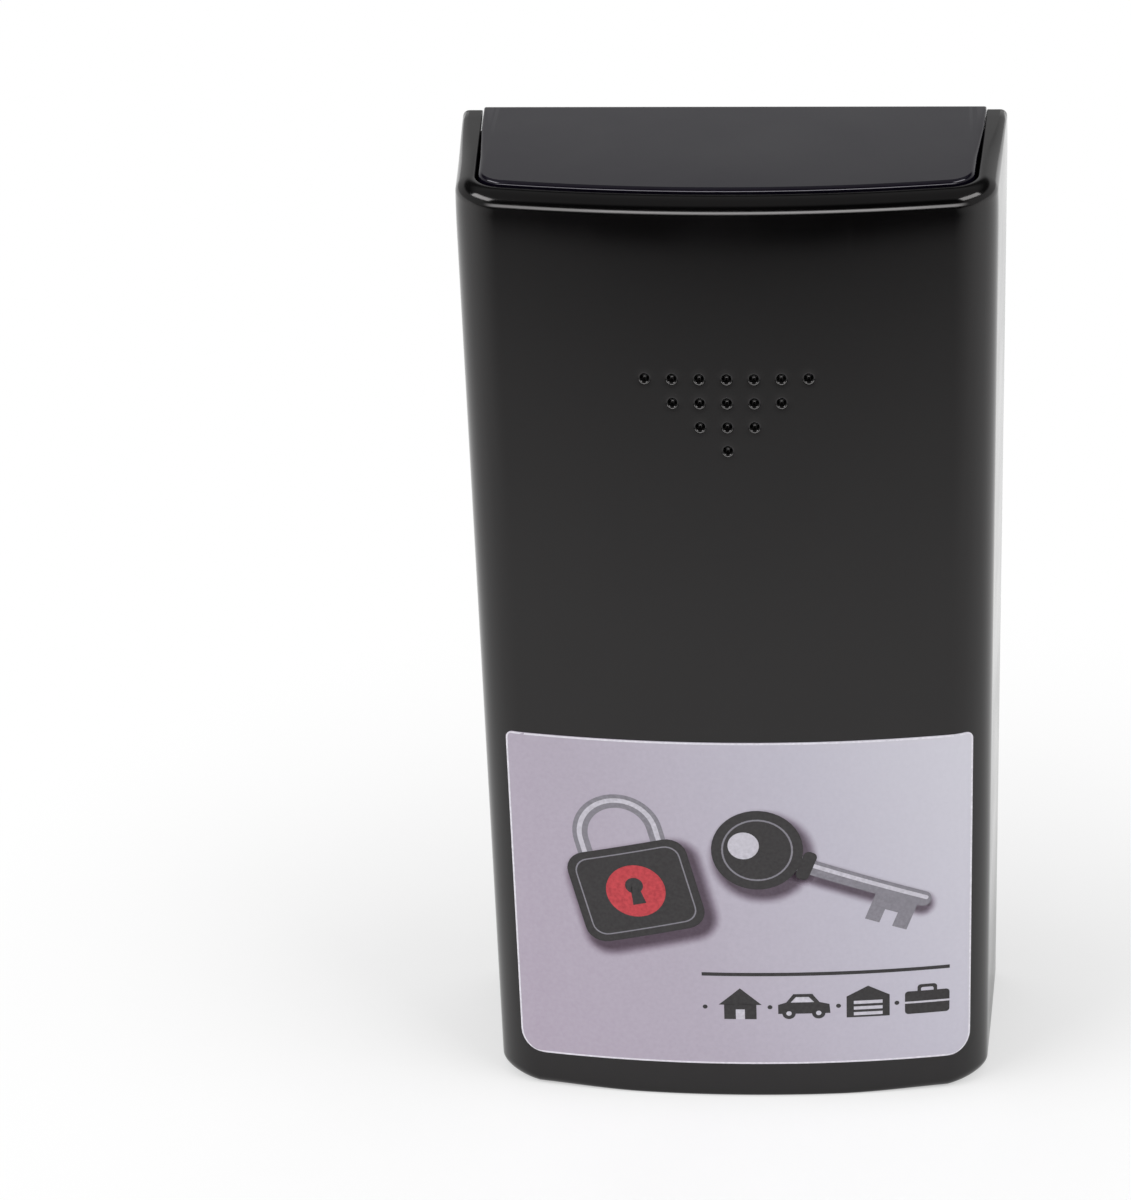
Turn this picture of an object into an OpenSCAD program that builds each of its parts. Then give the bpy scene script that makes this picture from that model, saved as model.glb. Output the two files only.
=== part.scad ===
// Magnetic key holder box: a tray with a magnet on its back and a cover that slides down off it.
// Width runs along X, the bowed front faces -Y and the magnet faces +Y. Sizes are in millimetres.
// Heights are set out from the cover's underside and depths from the cover's rear edges. The part is
// then moved so that its origin is on the underside, at the middle of its width and of its whole depth.

/* [Cover] */
// Width across the cover's rear edges
cover_w = 57.5; // [52:0.5:70]
// Height of the cover
cover_h = 108; // [96:1:130]
// Depth of the cover at the middle of its bowed front
cover_d = 25.7; // [24:0.1:34]
// How far the front bows out past the line between its corners
bow = 2.9; // [2:0.1:4]
// How far each side wall leans in from back to front
side_lean = 1.4; // [0.4:0.1:2]
// Outer radius of the upright front corners
corner_r = 5.5; // [4.5:0.1:7]
// Thickness of the cover's walls
cover_wall = 2.2; // [2:0.1:2.6]
// Thickness of the cover's floor
cover_floor = 1.6; // [1.2:0.1:2.4]
// Radius of the rim's outer edge
rim_r = 1.7; // [0.8:0.1:1.7]
// Radius of the rim's inner edge
rim_inner_r = 0.3; // [0.1:0.05:0.3]
// Radius of the edge round the cover's underside
foot_r = 1.6; // [0.6:0.1:1.6]

/* [Cover guide ribs] */
// Thickness of each rib, front to back
rib_t = 1.4; // [1:0.1:2]
// Gap between the top of each rib and the tray's top panel
rib_end_gap = 0.6; // [0.3:0.1:3]

/* [Thumb dimples] */
// Number of dimples in the top row
dimple_cols = 7; // [3:2:9]
// Distance between dimples across the cover
dimple_pitch_x = 2.8; // [2:0.1:4]
// Distance between rows of dimples
dimple_pitch_z = 2.7; // [2:0.1:4]
// Width of each dimple
dimple_d = 1.2; // [0.8:0.1:1.8]
// Depth of each dimple
dimple_depth = 0.45; // [0.2:0.05:0.6]
// Distance from the rim's top down to the top row
dimple_drop = 19.4; // [12:0.1:30]

/* [Label] */
// How far the label runs round each front corner
label_wrap = 2.2; // [0.5:0.1:4]
// Height of the label
label_h = 41.4; // [30:0.2:50]
// Distance from the cover's underside up to the label
label_lift = 4.5; // [3:0.1:10]
// Thickness of the label film
label_t = 0.15; // [0.1:0.05:0.3]
// Radius of the label's top corners
label_top_r = 0.9; // [0.4:0.1:2]
// Radius of the label's bottom corners
label_foot_r = 2.8; // [1:0.1:4]

/* [Tray] */
// Sliding gap between the cover and the tray
slide_gap = 0.35; // [0.25:0.05:0.5]
// Thickness of the tray's back plate
plate_t = 1.8; // [1.4:0.1:2.4]
// How far the back plate stands out behind the cover's rear edges
plate_proud = 0.3; // [0:0.05:0.6]
// Thickness of the top panel that closes the cover's mouth
panel_t = 1.8; // [1.4:0.1:2.4]
// How far the top panel stands above the cover's rim
panel_proud = 0.4; // [0:0.05:0.8]
// Radius of the edge between the top panel and the back plate
panel_back_r = 1.3; // [0.5:0.1:1.7]

/* [Tray slots and hooks] */
// Width of each slot in the back plate
slot_w = 1.9; // [1.5:0.1:2.4]
// Width of the strip of plate outside each slot
slot_margin = 1.4; // [1:0.1:2.4]
// Relative lengths of the slots in one column, from the top one down
slot_shares = [18.2, 31, 26.7, 12];
// Length of plate between two slots
slot_bridge = 3.9; // [2.5:0.1:6]
// Distance from the rim's top down to the first slot
slot_drop = 2.5; // [2:0.1:4]
// Height of the last slot's foot above the cover's underside
slot_foot = 5.5; // [4:0.1:10]
// Thickness of a hook's stem
hook_stem_t = 1.5; // [1:0.1:2]
// Thickness of a hook's lip
hook_lip_t = 1.3; // [0.9:0.1:2]
// How much shorter a hook is than its slot, at each end
hook_inset = 0.4; // [0:0.1:1]

/* [Moulding marks] */
// Width of the four round ejector marks on the back plate
mark_d = 6.8; // [4:0.1:9]
// Depth of the ejector marks
mark_depth = 0.15; // [0.05:0.05:0.3]
// Distance of the marks from the middle of the plate
mark_x = 16.6; // [12:0.1:19]
// Distance of the marks from the top and bottom of the cover
mark_end = 8; // [6:0.1:14]

/* [Magnet] */
// Width of the ferrite block
ferrite_w = 25; // [18:0.5:28]
// Height of the ferrite block
ferrite_h = 40; // [30:0.5:50]
// Radius of the ferrite block's corners
ferrite_r = 1.8; // [0.5:0.1:4]
// Thickness of each steel pole plate
pole_t = 2.2; // [1.5:0.1:3]
// How far the pole plates run past the ferrite block at each end
pole_over = 1; // [0.4:0.1:2]
// How far the pole plates stand out past the ferrite block's face
pole_proud = 0.65; // [0.5:0.05:1]
// Radius of the pole plates' outer corners
pole_r = 2; // [0.5:0.1:3]
// Depth of the pole plates from the back plate to their contact edges
magnet_depth = 6.3; // [4:0.1:12]
// Height of the magnet's middle above the middle of the cover
magnet_lift = 1.5; // [-6:0.1:8]

/* [Magnet housing] */
// Gap between the magnet and the housing's walls
magnet_gap = 0.25; // [0.1:0.05:0.5]
// Thickness of the housing's side walls
house_wall = 1.1; // [1:0.1:2]
// Thickness of the housing's top wall
house_roof = 1.3; // [1:0.1:2]
// How far the pole plates stand out past the housing's rim
magnet_proud = 1; // [0.6:0.1:2]
// Radius of the rim's outer edges
house_rim_r = 0.9; // [0.3:0.1:0.9]
// How far the side walls run down past the pole plates
house_tail = 2.4; // [0.5:0.1:5]
// Width of the spring tab in the middle of the top wall
tab_w = 10.6; // [6:0.1:14]
// Width of the slot on each side of the tab
tab_slot = 0.9; // [0.5:0.1:1.5]
// Thickness of the lips on the tab and the ledge that reach over the ferrite block's face
lip_t = 0.4; // [0.2:0.05:0.4]
// How far the lips reach over the face
lip_reach = 0.4; // [0.2:0.1:1]
// Width of the ledge under the ferrite block
ledge_w = 10; // [5:0.5:16]
// Thickness of the ledge
ledge_t = 1.2; // [0.8:0.1:1.5]

/* [Hidden] */

// Length by which a cut runs past the face that it leaves
past = 1;
// Length by which two joined forms run into each other
join = 0.25;
arc_fn = 96;
bow_fn = 720;
// Angle by which the bands round the corners run into the bands beside them, so that they join
seam_angle = 0.2;

// Cover outline, seen from above. The side line runs from the rear edge to where it meets the bow.
side_d = cover_d - bow;
lean_angle = atan(side_lean / side_d);
side_out = [cos(lean_angle), -sin(lean_angle)];
side_run = [-sin(lean_angle), -cos(lean_angle)];
bow_half = cover_w / 2 - side_lean;
bow_r = (bow_half * bow_half + bow * bow) / (2 * bow);
bow_centre = [0, bow_r - cover_d];

// The corner's centre lies a corner radius inside the side line and inside the bow
corner_start = [cover_w / 2, 0] - corner_r * side_out;
corner_from = corner_start - bow_centre;
corner_along = corner_from * side_run;
corner_off = corner_from * corner_from - pow(bow_r - corner_r, 2);
side_len = -corner_along + sqrt(corner_along * corner_along - corner_off);
corner_centre = corner_start + side_len * side_run;
bow_angle = atan2(corner_centre[1] - bow_centre[1], corner_centre[0] - bow_centre[0]);
bow_end = [cos(bow_angle), sin(bow_angle)];
bow_sweep = 2 * (90 + bow_angle);

// Half of the clear width between the cover's side walls, at a depth y
function inner_half(y) = cover_w / 2 - cover_wall / cos(lean_angle) + y * tan(lean_angle);

// Tray
top_z = cover_h + panel_proud;
plate_front = plate_proud - plate_t;
plate_half = inner_half(plate_front) - slide_gap;
plate_foot = cover_floor + slide_gap;
panel_inset = cover_wall + slide_gap;
panel_under = top_z - panel_t;

// Slots, hooks and the ribs between them
slot_out = plate_half - slot_margin;
slot_in = slot_out - slot_w;
slot_top = cover_h - slot_drop;
slot_count = len(slot_shares);
slot_share_sum = slot_shares * [for (share = slot_shares) 1];
slot_room = slot_top - slot_foot - (slot_count - 1) * slot_bridge;
slot_lengths = slot_shares * slot_room / slot_share_sum;
function slot_high(i) = i == 0 ? slot_top : slot_high(i - 1) - slot_lengths[i - 1] - slot_bridge;
rib_back = plate_front - slide_gap;
rib_front = rib_back - rib_t;
rib_in = slot_in + slide_gap;
rib_top = panel_under - rib_end_gap;
lip_back = rib_front - slide_gap;
lip_front = lip_back - hook_lip_t;
lip_out = slot_out;

// Magnet and its housing
magnet_z = cover_h / 2 + magnet_lift;
contact_y = plate_proud + magnet_depth;
rim_y = contact_y - magnet_proud;
pole_h = ferrite_h + 2 * pole_over;
magnet_half = ferrite_w / 2 + pole_t;
pocket_half = magnet_half + magnet_gap;
house_half = pocket_half + house_wall;
pocket_top = magnet_z + pole_h / 2 + magnet_gap;
house_top = pocket_top + house_roof;
house_foot = magnet_z - pole_h / 2 - house_tail;
ferrite_top = magnet_z + ferrite_h / 2;
ferrite_foot = magnet_z - ferrite_h / 2;
ferrite_back = contact_y - pole_proud;
lip_gap = 0.05;
catch_front = ferrite_back + lip_gap;
catch_back = catch_front + lip_t;
ledge_top = ferrite_foot - magnet_gap;

// Label
label_end_angle = bow_angle + label_wrap / corner_r * 180 / PI;
label_half = corner_centre[0] + corner_r * cos(label_end_angle);

module in_frame() {
    translate([0, (cover_d + label_t - contact_y) / 2, 0]) children();
}

module both_sides() {
    children();
    mirror([1, 0, 0]) children();
}

// Area inside the cover's outline, moved in by a distance
module outline(inset) {
    half = cover_w / 2 - inset / cos(lean_angle);
    side_end = corner_centre + (corner_r - inset) * side_out;
    arc_end = bow_centre + (bow_r - inset) * bow_end;
    both_sides() {
        polygon([[0, 0], [half, 0], side_end, corner_centre, arc_end, [0, arc_end[1]]]);
        translate(corner_centre) circle(r = corner_r - inset, $fn = arc_fn);
    }
    intersection() {
        translate(bow_centre) circle(r = bow_r - inset, $fn = bow_fn);
        translate([-arc_end[0], -cover_d - past]) square([2 * arc_end[0], cover_d + past + arc_end[1]]);
    }
}

// Carries a section along the cover's wall. The section's x is the distance outside the cover's
// outer face and its y is the height.
module along_side(length) {
    translate([cover_w / 2, 0, 0]) rotate([0, 0, -lean_angle]) rotate([90, 0, 0])
        translate([0, 0, side_len - length]) linear_extrude(length) children();
}

module round_corner(from, to) {
    translate(corner_centre) rotate([0, 0, from])
        rotate_extrude(angle = to - from, $fn = arc_fn) translate([corner_r, 0]) children();
}

module round_bow() {
    translate(bow_centre) rotate([0, 0, -90 - bow_sweep / 2])
        rotate_extrude(angle = bow_sweep, $fn = bow_fn) translate([bow_r, 0]) children();
}

// Section through the cover's wall: a rounded rim at the top and a rounded edge at the bottom
module wall_section() {
    difference() {
        translate([-cover_wall, 0]) square([cover_wall, cover_h]);
        edge_cut(0, 0, foot_r, 1, 1);
        edge_cut(0, cover_h, rim_r, 1, -1);
        edge_cut(-cover_wall, cover_h, rim_inner_r, -1, -1);
    }
}

// What is cut from a square corner at (x, z) to round it. The corner points outwards along side,
// and up runs from the corner into the solid.
module edge_cut(x, z, r, side, up) {
    difference() {
        translate([x - side * r / 2 + side * past / 2, z + up * r / 2 - up * past / 2])
            square([r + past, r + past], center = true);
        translate([x - side * r, z + up * r]) circle(r = r, $fn = arc_fn);
    }
}

module cover_walls() {
    intersection() {
        both_sides() along_side(side_len + past) wall_section();
        translate([-cover_w, -2 * cover_d, 0]) cube([2 * cover_w, 2 * cover_d, cover_h]);
    }
    both_sides() round_corner(bow_angle, -lean_angle) wall_section();
    round_bow() wall_section();
}

module cover_guide_rib() {
    translate([rib_in, rib_front, cover_floor - join])
        cube([inner_half(rib_front) + join - rib_in, rib_t, rib_top - cover_floor + join]);
}

module dimple() {
    translate([bow_r - dimple_depth, 0, 0]) rotate([0, 90, 0])
        cylinder(h = dimple_depth + past, d = dimple_d, $fn = 24);
}

// Rows that shrink by two make an arrowhead that points down
module dimples() {
    rows = (dimple_cols + 1) / 2;
    step = dimple_pitch_x / bow_r * 180 / PI;
    for (row = [0:rows - 1], col = [row:dimple_cols - 1 - row]) {
        turn = -90 + (col - (dimple_cols - 1) / 2) * step;
        translate([0, bow_centre[1], cover_h - dimple_drop - row * dimple_pitch_z])
            rotate([0, 0, turn]) dimple();
    }
}

module cover() {
    color("#2b2b2d") in_frame() difference() {
        union() {
            cover_walls();
            linear_extrude(cover_floor) outline(cover_wall - join);
            both_sides() cover_guide_rib();
        }
        dimples();
    }
}

module label_section() {
    translate([0, label_lift]) square([label_t, label_h]);
}

// Face of the label seen from the front, with its rounded corners
module label_face() {
    top = label_lift + label_h;
    difference() {
        translate([-label_half - past, label_lift]) square([2 * (label_half + past), label_h]);
        both_sides() {
            edge_cut(label_half, label_lift, label_foot_r, 1, 1);
            edge_cut(label_half, top, label_top_r, 1, -1);
        }
    }
}

// A film on the outside of the cover, cut to the label's face
module label() {
    color("#bcb6c6") in_frame() intersection() {
        union() {
            round_bow() label_section();
            both_sides() round_corner(bow_angle - seam_angle, label_end_angle) label_section();
        }
        rotate([90, 0, 0]) linear_extrude(cover_d + past) label_face();
    }
}

module plate_and_panel() {
    difference() {
        union() {
            translate([-plate_half, plate_front, plate_foot])
                cube([2 * plate_half, plate_t, top_z - plate_foot]);
            translate([0, 0, panel_under]) linear_extrude(panel_t) outline(panel_inset);
        }
        rotate([90, 0, 90]) translate([0, 0, -cover_w])
            linear_extrude(2 * cover_w) edge_cut(plate_proud, top_z, panel_back_r, 1, -1);
    }
}

module slot(i) {
    translate([slot_in, plate_front - past, slot_high(i) - slot_lengths[i]])
        cube([slot_w, plate_t + 2 * past, slot_lengths[i]]);
}

// A stem beside the slot with a lip that reaches over it and holds the cover's rib
module hook(i) {
    foot = slot_high(i) - slot_lengths[i] + hook_inset;
    length = slot_lengths[i] - 2 * hook_inset;
    translate([slot_in - hook_stem_t, lip_front, foot])
        cube([hook_stem_t, plate_front - lip_front + join, length]);
    translate([slot_in - join, lip_front, foot])
        cube([lip_out - slot_in + join, hook_lip_t, length]);
}

module ejector_mark(z) {
    translate([mark_x, plate_proud - mark_depth, z]) rotate([-90, 0, 0])
        cylinder(h = mark_depth + past, d = mark_d, $fn = arc_fn);
}

// Outer form of the housing with a rounded rim on its sides and top
module house_block() {
    intersection() {
        translate([0, 0, house_foot]) linear_extrude(house_top - house_foot) difference() {
            translate([-house_half, plate_proud - join]) square([2 * house_half, rim_y - plate_proud + join]);
            both_sides() edge_cut(house_half, rim_y, house_rim_r, 1, -1);
        }
        rotate([90, 0, 90]) translate([0, 0, -house_half - past]) linear_extrude(2 * (house_half + past))
            difference() {
                translate([plate_proud - past, house_foot - past])
                    square([rim_y - plate_proud + past, house_top - house_foot + past]);
                edge_cut(rim_y, house_top, house_rim_r, 1, -1);
            }
    }
}

module tab_cuts() {
    both_sides() translate([tab_w / 2, plate_proud, pocket_top - past])
        cube([tab_slot, rim_y + past, house_roof + 2 * past]);
}

// The tab runs out past the rim, and its lip hooks over the top of the ferrite block's face
module tab_end() {
    rotate([90, 0, 90]) translate([0, 0, -tab_w / 2]) linear_extrude(tab_w) difference() {
        union() {
            translate([plate_proud + join, pocket_top])
                square([catch_back - plate_proud - join, house_roof]);
            translate([catch_front, ferrite_top - lip_reach])
                square([lip_t, house_top - ferrite_top + lip_reach]);
        }
        edge_cut(catch_back, house_top, house_rim_r, 1, -1);
    }
}

// The ledge holds the ferrite block's foot in the same way
module ledge() {
    translate([-ledge_w / 2, plate_proud - join, ledge_top - ledge_t])
        cube([ledge_w, catch_back - plate_proud + join, ledge_t]);
    translate([-ledge_w / 2, catch_front, ledge_top - join])
        cube([ledge_w, lip_t, ferrite_foot + lip_reach - ledge_top + join]);
}

module magnet_housing() {
    difference() {
        house_block();
        translate([-pocket_half, plate_proud, house_foot - past])
            cube([2 * pocket_half, rim_y, pocket_top - house_foot + past]);
        tab_cuts();
    }
    tab_end();
    ledge();
}

module base() {
    color("#2f2f31") in_frame() {
        difference() {
            plate_and_panel();
            for (i = [0:slot_count - 1]) both_sides() slot(i);
            both_sides() {
                ejector_mark(cover_h - mark_end);
                ejector_mark(mark_end);
            }
        }
        for (i = [0:slot_count - 1]) both_sides() hook(i);
        magnet_housing();
    }
}

// A block with rounded corners that lies against the back plate
module ferrite_magnet() {
    half_w = ferrite_w / 2 - ferrite_r;
    half_h = ferrite_h / 2 - ferrite_r;
    color("#676263") in_frame() translate([0, ferrite_back, magnet_z]) rotate([90, 0, 0])
        linear_extrude(magnet_depth - pole_proud) union() {
            square([ferrite_w, 2 * half_h], center = true);
            square([2 * half_w, ferrite_h], center = true);
            for (x = [-half_w, half_w], z = [-half_h, half_h])
                translate([x, z]) circle(r = ferrite_r, $fn = arc_fn);
        }
}

// A steel strip on edge beside the ferrite block, with its two outer corners rounded
module pole_plate() {
    low = magnet_z - pole_h / 2;
    high = magnet_z + pole_h / 2;
    rotate([90, 0, 90]) translate([0, 0, ferrite_w / 2]) linear_extrude(pole_t) difference() {
        translate([plate_proud, low]) square([magnet_depth, pole_h]);
        edge_cut(contact_y, low, pole_r, 1, 1);
        edge_cut(contact_y, high, pole_r, 1, -1);
    }
}

module pole_plate_left() {
    color("#cdb37f") in_frame() mirror([1, 0, 0]) pole_plate();
}

module pole_plate_right() {
    color("#cdb37f") in_frame() pole_plate();
}

cover();
label();
base();
ferrite_magnet();
pole_plate_left();
pole_plate_right();
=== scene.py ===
import math

import bmesh
import bpy
from mathutils import Matrix, Vector


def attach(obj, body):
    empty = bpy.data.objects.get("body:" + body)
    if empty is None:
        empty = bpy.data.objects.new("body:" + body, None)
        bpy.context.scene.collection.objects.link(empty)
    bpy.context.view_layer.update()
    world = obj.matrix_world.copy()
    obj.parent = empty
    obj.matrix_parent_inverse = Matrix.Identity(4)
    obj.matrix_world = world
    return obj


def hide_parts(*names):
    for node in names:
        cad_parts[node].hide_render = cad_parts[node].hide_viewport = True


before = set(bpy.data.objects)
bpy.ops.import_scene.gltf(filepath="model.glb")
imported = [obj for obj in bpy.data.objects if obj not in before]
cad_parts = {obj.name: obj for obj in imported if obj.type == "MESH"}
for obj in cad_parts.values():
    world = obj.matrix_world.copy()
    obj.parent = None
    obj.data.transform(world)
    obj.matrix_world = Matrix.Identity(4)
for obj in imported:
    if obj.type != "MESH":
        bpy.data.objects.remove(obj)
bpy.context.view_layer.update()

# ---------------------------------------------------------------- sizes, in millimetres
# Heights start at the underside and depths at the rear edges. First the values of the part's source:
MM = 0.001
COVER_W, COVER_H, COVER_D = 57.5, 108.0, 25.7
BOW, SIDE_LEAN, CORNER_R = 2.9, 1.4, 5.5
WALL, FLOOR_T, RIM_R, RIM_IN_R, RIB_T = 2.2, 1.6, 1.7, 0.3, 1.4
DIMPLE_COLS, DIMPLE_X, DIMPLE_Z, DIMPLE_DROP = 7, 2.8, 2.7, 19.4
LABEL_LIFT, LABEL_H, LABEL_T, LABEL_WRAP = 4.5, 41.4, 0.15, 2.2
LABEL_TOP_R, LABEL_FOOT_R = 0.9, 2.8
GAP, PLATE_T, PLATE_PROUD, PANEL_T, PANEL_PROUD = 0.35, 1.8, 0.3, 1.8, 0.4
SLOT_W, SLOT_MARGIN, SLOT_BRIDGE, SLOT_DROP, SLOT_FOOT = 1.9, 1.4, 3.9, 2.5, 5.5
SLOT_SHARES = (18.2, 31.0, 26.7, 12.0)
STEM_T, LIP_T, HOOK_INSET = 1.5, 1.3, 0.4
MARK_R, MARK_X, MARK_END = 3.4, 16.6, 8.0
FERRITE_W, FERRITE_H, FERRITE_R = 25.0, 40.0, 1.8
POLE_T, POLE_OVER, POLE_PROUD, POLE_R = 2.2, 1.0, 0.65, 2.0
MAGNET_DEPTH, MAGNET_LIFT, MAGNET_GAP, MAGNET_PROUD = 6.3, 1.5, 0.25, 1.0
HOUSE_WALL, HOUSE_ROOF, HOUSE_RIM_R, HOUSE_TAIL = 1.1, 1.3, 0.9, 2.4
TAB_W, TAB_SLOT, LEDGE_W, LEDGE_T, CATCH_T, CATCH_REACH = 10.6, 0.9, 10.0, 1.2, 0.4, 0.4

# The rest is finer than in the part's source, or is only here.
# The rim's outer radius grows from RIM_REAR_R to RIM_R, RIM_FROM in front of the rear edges, over RIM_RUN.
RIM_REAR_R, RIM_FROM, RIM_RUN = 0.8, 1.0, 13.0
# The wall leans in by CROWN_LEAN over the last CROWN_H under the rim.
CROWN_H, CROWN_LEAN = 7.0, 0.07
# The underside's edge has FOOT_R along the sides and the front, and FOOT_CORNER_R in mid corner. It
# starts to change SOFT_SIDE_FROM in front of the rear edges, and SOFT_FRONT_FROM beside the middle.
FOOT_R, FOOT_CORNER_R = 0.45, 1.9
SOFT_SIDE_FROM, SOFT_FRONT_FROM, SOFT_FRONT_RUN = 8.0, 11.0, 12.0
# A dimple is a steep wall DIMPLE_LIP wide that ends in a point, in the middle of a shallow dish.
DIMPLE_R, DIMPLE_DEPTH, DIMPLE_LIP = 0.58, 0.6, 0.36
TIP_R, TIP_DEPTH, DISH_R, DISH_DEPTH = 0.26, 0.12, 1.25, 0.03
# The part of the front that is meshed finely for the dimples: half its width, its heights and its cells
PATCH_X, PATCH_Z, PATCH_CELLS = 10.4, (78.9, 90.3), (208, 114)
EDGE_GAP, RIB_END = 0.28, 0.2          # the gap round the tray, and over the guide ribs
# The panel's edge comes out by PANEL_NEAR at its two rear corners, which nearly touch the cover. It starts
# PANEL_NEAR_FROM in front of the rear edges and is all out PANEL_NEAR_RUN further back.
PANEL_NEAR_RIGHT, PANEL_NEAR_LEFT, PANEL_NEAR_FROM, PANEL_NEAR_RUN = 0.25, 0.13, 14.0, 7.5
PANEL_EDGE_R, PANEL_BACK_R, PANEL_BACK_END = 0.4, 1.0, 40
MARK_DEPTH, MARK_PAD, TAB_R, CATCH_GAP = 0.12, 0.6, 1.1, 0.05
HOUSE_KNEE = 2.0                       # length of the housing's walls that bends with their corner
BEVEL_COVER, BEVEL_TRAY, BEVEL_FERRITE, BEVEL_POLE = 0.16, 0.14, 0.22, 0.3
OVERLAP = 0.1                          # how far the forms of one moulding run into each other
# The film runs from FILM_BACK to FILM_T outside the cover. The print's levels lie on it, inside LABEL_T.
FILM_BACK, FILM_T, PRINT_LIFT, PRINT_STEP = 0.002, 0.12, 0.004, 0.003
LABEL_SHIFT = 0.4                      # the label sits a little to the right of the middle

CONTACT_Y = PLATE_PROUD + MAGNET_DEPTH
FRAME_Y = (COVER_D + LABEL_T - CONTACT_Y) / 2

LEAN = math.atan(SIDE_LEAN / (COVER_D - BOW))
SIDE_OUT = (math.cos(LEAN), -math.sin(LEAN))
SIDE_RUN = (-math.sin(LEAN), -math.cos(LEAN))
BOW_HALF = COVER_W / 2 - SIDE_LEAN
BOW_R = (BOW_HALF ** 2 + BOW ** 2) / (2 * BOW)
BOW_Y = BOW_R - COVER_D
START = (COVER_W / 2 - CORNER_R * SIDE_OUT[0], -CORNER_R * SIDE_OUT[1])
ALONG = START[0] * SIDE_RUN[0] + (START[1] - BOW_Y) * SIDE_RUN[1]
OFF = START[0] ** 2 + (START[1] - BOW_Y) ** 2 - (BOW_R - CORNER_R) ** 2
SIDE_LEN = -ALONG + math.sqrt(ALONG ** 2 - OFF)
CORNER = (START[0] + SIDE_LEN * SIDE_RUN[0], START[1] + SIDE_LEN * SIDE_RUN[1])
BOW_END = math.atan2(CORNER[1] - BOW_Y, CORNER[0])
BOW_LEN = BOW_R * (math.pi / 2 + BOW_END)     # half of the bow, measured round it


def inner_half(y):
    return COVER_W / 2 - WALL / math.cos(LEAN) + y * math.tan(LEAN)


TOP_Z = COVER_H + PANEL_PROUD
PLATE_FRONT = PLATE_PROUD - PLATE_T
PLATE_HALF = inner_half(PLATE_FRONT) - EDGE_GAP
PLATE_FOOT = FLOOR_T + GAP
PANEL_IN = WALL + EDGE_GAP
PANEL_UNDER = TOP_Z - PANEL_T
SLOT_OUT = inner_half(PLATE_FRONT) - GAP - SLOT_MARGIN
SLOT_IN = SLOT_OUT - SLOT_W
RIB_BACK = PLATE_FRONT - GAP
RIB_FRONT = RIB_BACK - RIB_T
LIP_BACK = RIB_FRONT - GAP
LIP_FRONT = LIP_BACK - LIP_T
RIM_Y = CONTACT_Y - MAGNET_PROUD
FERRITE_BACK = CONTACT_Y - POLE_PROUD
MAGNET_Z = COVER_H / 2 + MAGNET_LIFT
POLE_H = FERRITE_H + 2 * POLE_OVER
POCKET = FERRITE_W / 2 + POLE_T + MAGNET_GAP
POCKET_TOP = MAGNET_Z + POLE_H / 2 + MAGNET_GAP
HOUSE_TOP = POCKET_TOP + HOUSE_ROOF
HOUSE_FOOT = MAGNET_Z - POLE_H / 2 - HOUSE_TAIL


def slots():
    """(foot, top) of each slot in a column, from the top one down."""
    top = COVER_H - SLOT_DROP
    room = top - SLOT_FOOT - (len(SLOT_SHARES) - 1) * SLOT_BRIDGE
    out = []
    for share in SLOT_SHARES:
        length = share * room / sum(SLOT_SHARES)
        out.append((top - length, top))
        top -= length + SLOT_BRIDGE
    return out


# ---------------------------------------------------------------- making meshes
def steps(a, b, n):
    return [a + (b - a) * i / n for i in range(n + 1)]


def clamp(t):
    return min(1.0, max(0.0, t))


def ease(t):
    """A smooth step from 0 to 1."""
    t = clamp(t)
    return t * t * (3 - 2 * t)


def arc(cx, cy, r, a, b, n):
    """Points of an arc round (cx, cy) from angle a to angle b, in degrees."""
    return [(cx + r * math.cos(math.radians(t)), cy + r * math.sin(math.radians(t)))
            for t in steps(a, b, n)]


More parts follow.
